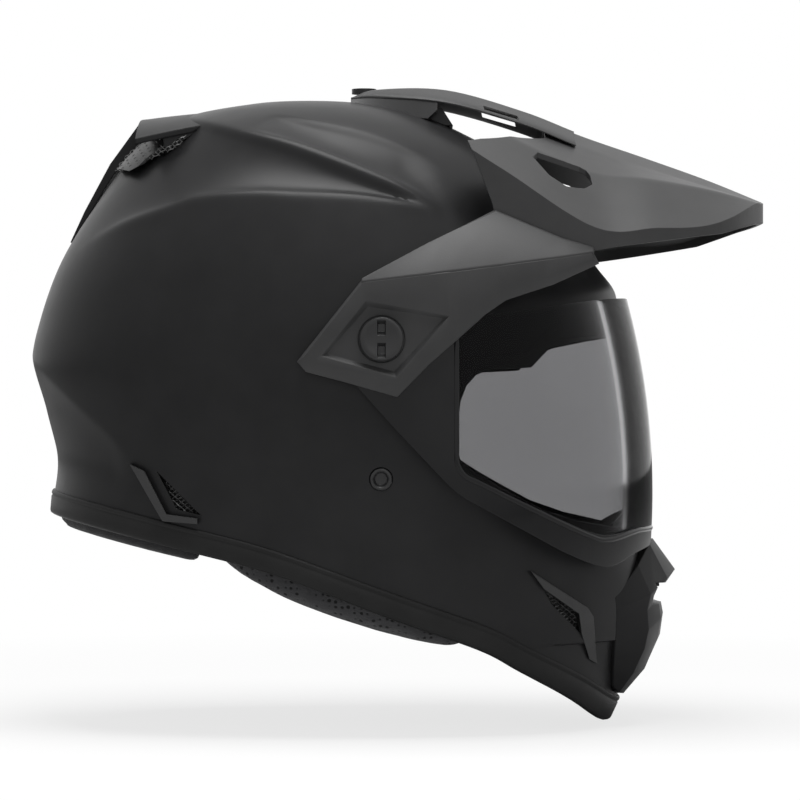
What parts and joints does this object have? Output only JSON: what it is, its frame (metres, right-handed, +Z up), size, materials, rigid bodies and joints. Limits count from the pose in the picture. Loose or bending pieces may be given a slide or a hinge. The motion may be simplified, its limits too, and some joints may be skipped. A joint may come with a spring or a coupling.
{
  "type": "dual sport helmet",
  "caption": "Full-face off-road helmet with long vented peak, pivoting smoke shield, chin bar mouthpiece, padded lining, neck roll and a ring-fastened chin strap.",
  "frame": {"origin": "centre of the wearer's head, between the side screws and a little behind them", "axes": "+X forward out of the eye opening, +Y to the wearer's left, +Z up with the helmet as worn"},
  "size_m": [0.3841, 0.2636, 0.333],
  "materials": {
    "shell_paint": "matte black paint over a moulded fibre shell",
    "peak_plastic": "matte black moulding",
    "dark_plastic": "satin black moulding",
    "edge_rubber": "satin black edge rubber",
    "smoke_window": "smoke tinted clear window with a black border",
    "foam": "dark expanded foam",
    "comfort_fabric": "black brushed lining fabric",
    "pad_fabric": "dark perforated pad fabric",
    "webbing": "black woven strap",
    "wire_mesh": "fine black wire mesh",
    "steel": "plain steel",
    "brass": "plain threaded insert"
  },
  "bodies": {
    "shell": {"outer_shell": "shell_paint", "crown_liner": "foam", "chin_liner": "foam", "comfort_liner": "comfort_fabric", "bottom_trim": "edge_rubber", "eyeport_gasket": "edge_rubber", "neck_roll": "comfort_fabric", "breath_deflector": "dark_plastic", "plate_screws": "steel", "peak": "peak_plastic", "top_insert": "brass", "mouthpiece": "peak_plastic", "mouth_mesh": "wire_mesh", "rear_spoiler": "shell_paint", "brow_vent_cover": "dark_plastic", "strap_left": "webbing", "strap_right": "webbing", "pivot_plate_left": "dark_plastic", "side_insert_left": "brass", "chin_vent_lip_left": "peak_plastic", "chin_vent_mesh_left": "wire_mesh", "lower_exhaust_lip_left": "peak_plastic", "lower_exhaust_mesh_left": "wire_mesh", "upper_exhaust_mesh_left": "wire_mesh", "cheek_pad_left": "pad_fabric", "side_plug_left": "dark_plastic", "strap_anchor_left": "steel", "pivot_plate_right": "dark_plastic", "side_insert_right": "brass", "chin_vent_lip_right": "peak_plastic", "chin_vent_mesh_right": "wire_mesh", "lower_exhaust_lip_right": "peak_plastic", "lower_exhaust_mesh_right": "wire_mesh", "upper_exhaust_mesh_right": "wire_mesh", "cheek_pad_right": "pad_fabric", "side_plug_right": "dark_plastic", "strap_anchor_right": "steel"},
    "shield": {"face_shield": "smoke_window"},
    "side_screw_left": {"side_screw_left": "dark_plastic"},
    "side_screw_right": {"side_screw_right": "dark_plastic"},
    "top_screw": {"top_screw": "dark_plastic"},
    "mouth_shutter": {"mouth_shutter": "dark_plastic"},
    "brow_vent_slider": {"brow_vent_slider": "dark_plastic"},
    "d_ring_upper": {"d_ring_upper": "steel"},
    "d_ring_lower": {"d_ring_lower": "steel"}
  },
  "joints": [
    {"name": "shield_swing", "type": "hinge", "parent": "shell", "child": "shield", "pos_m": [0.0269, 0, 0.0036], "axis": [0, -1, 0], "range_deg": [0, 38]},
    {"name": "side_screw_left_turn", "type": "hinge", "parent": "shell", "child": "side_screw_left", "pos_m": [0.0269, 0.1294, 0.0036], "axis": [0, 1, 0], "range_deg": [0, 90]},
    {"name": "side_screw_right_turn", "type": "hinge", "parent": "shell", "child": "side_screw_right", "pos_m": [0.0269, -0.1294, 0.0036], "axis": [0, -1, 0], "range_deg": [0, 90]},
    {"name": "top_screw_turn", "type": "hinge", "parent": "shell", "child": "top_screw", "pos_m": [0.017, 0, 0.1356], "axis": [0, 0, 1], "range_deg": [0, 360]},
    {"name": "mouth_shutter_slide", "type": "slide", "parent": "shell", "child": "mouth_shutter", "axis": [0, 0, -1], "range_m": [0, 0.005]},
    {"name": "brow_vent_slide", "type": "slide", "parent": "shell", "child": "brow_vent_slider", "axis": [0.9823, 0, -0.1871], "range_m": [-0.004, 0.004]},
    {"name": "d_ring_upper_swing", "type": "hinge", "parent": "shell", "child": "d_ring_upper", "pos_m": [0.008, 0.0484, -0.0921], "axis": [1, 0, 0], "range_deg": [-70, 14]},
    {"name": "d_ring_lower_swing", "type": "hinge", "parent": "shell", "child": "d_ring_lower", "pos_m": [0.008, 0.0484, -0.0963], "axis": [1, 0, 0], "range_deg": [-70, 14]}
  ]
}
